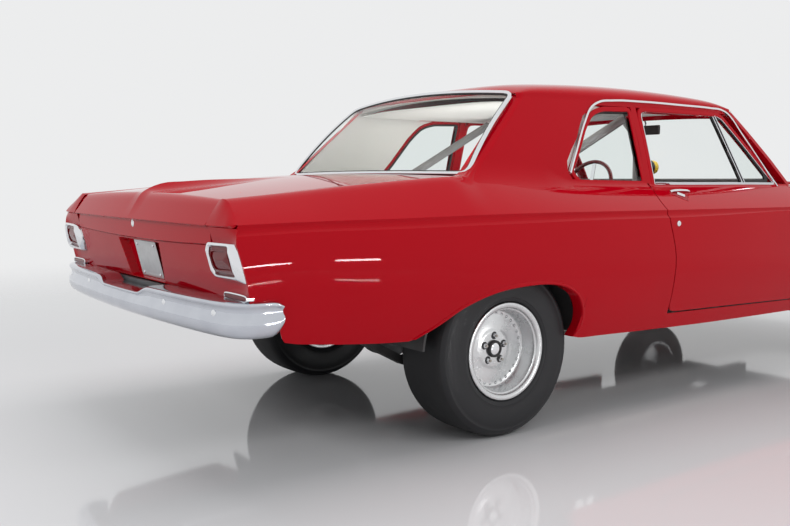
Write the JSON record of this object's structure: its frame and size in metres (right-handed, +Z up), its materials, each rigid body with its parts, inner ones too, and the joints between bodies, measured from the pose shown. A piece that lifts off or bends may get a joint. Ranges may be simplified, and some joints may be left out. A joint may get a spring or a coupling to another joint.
{
  "type": "drag racing car",
  "caption": "Sedan body set up for drag racing, with wide rear slicks, narrow front tyres, a roll cage, opening doors, hood and trunk lid.",
  "frame": {"origin": "on the floor, under the middle of the car's bounding box", "axes": "+X forward along the car, +Y to the car's left, +Z up"},
  "size_m": [5.166, 1.92, 1.556],
  "materials": {
    "body_paint": "gloss",
    "inner_paint": "satin",
    "cage_paint": "satin",
    "chrome": "polished",
    "glass": "clear",
    "red_lens": "gloss",
    "clear_lens": "clear",
    "slick_rubber": "matt",
    "wheel_metal": "polished",
    "seat_cover": "satin",
    "dash_pad": "matt",
    "wheel_grip": "gloss",
    "shelf_board": "matt",
    "chassis_black": "satin",
    "engine_iron": "painted",
    "radiator_metal": "satin",
    "pipe_steel": "satin"
  },
  "bodies": {
    "body": {"quarter_panel_left": "body_paint", "quarter_panel_right": "body_paint", "front_fender_left": "body_paint", "front_fender_right": "body_paint", "windshield_frame": "body_paint", "side_sills": "body_paint", "roof_panel": "body_paint", "upper_back_panel": "body_paint", "tail_panel": "body_paint", "nose_panel": "body_paint", "floor_pan": "inner_paint", "wheel_tubs": "inner_paint", "firewall": "inner_paint", "roll_cage": "cage_paint", "rear_bumper": "chrome", "front_bumper": "chrome", "grille": "chrome", "window_glass": "glass", "tail_lamps": "red_lens", "headlamps": "clear_lens", "bucket_seats": "seat_cover", "dashboard": "dash_pad", "package_shelf": "shelf_board", "frame_rails": "chassis_black", "rear_axle": "chassis_black", "leaf_springs": "chassis_black", "fuel_cell": "chassis_black", "front_suspension": "chassis_black", "engine": "engine_iron", "radiator": "radiator_metal", "exhaust": "pipe_steel"},
    "door_left": {"door_left": "body_paint", "vent_window_left": "glass"},
    "door_right": {"door_right": "body_paint", "vent_window_right": "glass"},
    "trunk_lid": {"trunk_lid": "body_paint"},
    "hood": {"hood": "body_paint"},
    "knuckle_left": {"knuckle_left": "chassis_black"},
    "knuckle_right": {"knuckle_right": "chassis_black"},
    "wheel_rear_left": {"tyre_rear_left": "slick_rubber", "rim_rear_left": "wheel_metal"},
    "wheel_rear_right": {"tyre_rear_right": "slick_rubber", "rim_rear_right": "wheel_metal"},
    "wheel_front_left": {"tyre_front_left": "slick_rubber", "rim_front_left": "wheel_metal"},
    "wheel_front_right": {"tyre_front_right": "slick_rubber", "rim_front_right": "wheel_metal"},
    "steering_wheel": {"steering_wheel": "wheel_grip"}
  },
  "joints": [
    {"name": "door_left_hinge", "type": "hinge", "parent": "body", "child": "door_left", "pos_m": [0.969, 0.96, 0.75], "axis": [0, 0, -1], "range_deg": [0, 65]},
    {"name": "door_right_hinge", "type": "hinge", "parent": "body", "child": "door_right", "pos_m": [0.969, -0.96, 0.75], "axis": [0, 0, 1], "range_deg": [0, 65]},
    {"name": "trunk_lid_hinge", "type": "hinge", "parent": "body", "child": "trunk_lid", "pos_m": [-1.709, 0, 1.0943], "axis": [0, 1, 0], "range_deg": [0, 60]},
    {"name": "hood_hinge", "type": "hinge", "parent": "body", "child": "hood", "pos_m": [1.147, 0, 1.05], "axis": [0, -1, 0], "range_deg": [0, 50]},
    {"name": "steer_left", "type": "hinge", "parent": "body", "child": "knuckle_left", "pos_m": [1.707, 0.6, 0.335], "axis": [0, 0, 1], "range_deg": [-28, 28]},
    {"name": "steer_right", "type": "hinge", "parent": "body", "child": "knuckle_right", "pos_m": [1.707, -0.6, 0.335], "axis": [0, 0, 1], "range_deg": [-28, 28]},
    {"name": "steering_wheel_turn", "type": "hinge", "parent": "body", "child": "steering_wheel", "pos_m": [0.651, 0.4, 1.012], "axis": [0.9272, 0, -0.3746], "range_deg": [-450, 450]},
    {"name": "rear_left_spin", "type": "hinge", "parent": "body", "child": "wheel_rear_left", "pos_m": [-1.239, 0.735, 0.366], "axis": [0, 1, 0], "continuous": true},
    {"name": "front_left_spin", "type": "hinge", "parent": "knuckle_left", "child": "wheel_front_left", "pos_m": [1.707, 0.7225, 0.335], "axis": [0, 1, 0], "continuous": true},
    {"name": "rear_right_spin", "type": "hinge", "parent": "body", "child": "wheel_rear_right", "pos_m": [-1.239, -0.735, 0.366], "axis": [0, 1, 0], "continuous": true},
    {"name": "front_right_spin", "type": "hinge", "parent": "knuckle_right", "child": "wheel_front_right", "pos_m": [1.707, -0.7225, 0.335], "axis": [0, 1, 0], "continuous": true}
  ],
  "couplings": [
    {"joint": "steer_right", "follows": "steer_left", "ratio": 1},
    {"joint": "steering_wheel_turn", "follows": "steer_left", "ratio": -16}
  ]
}
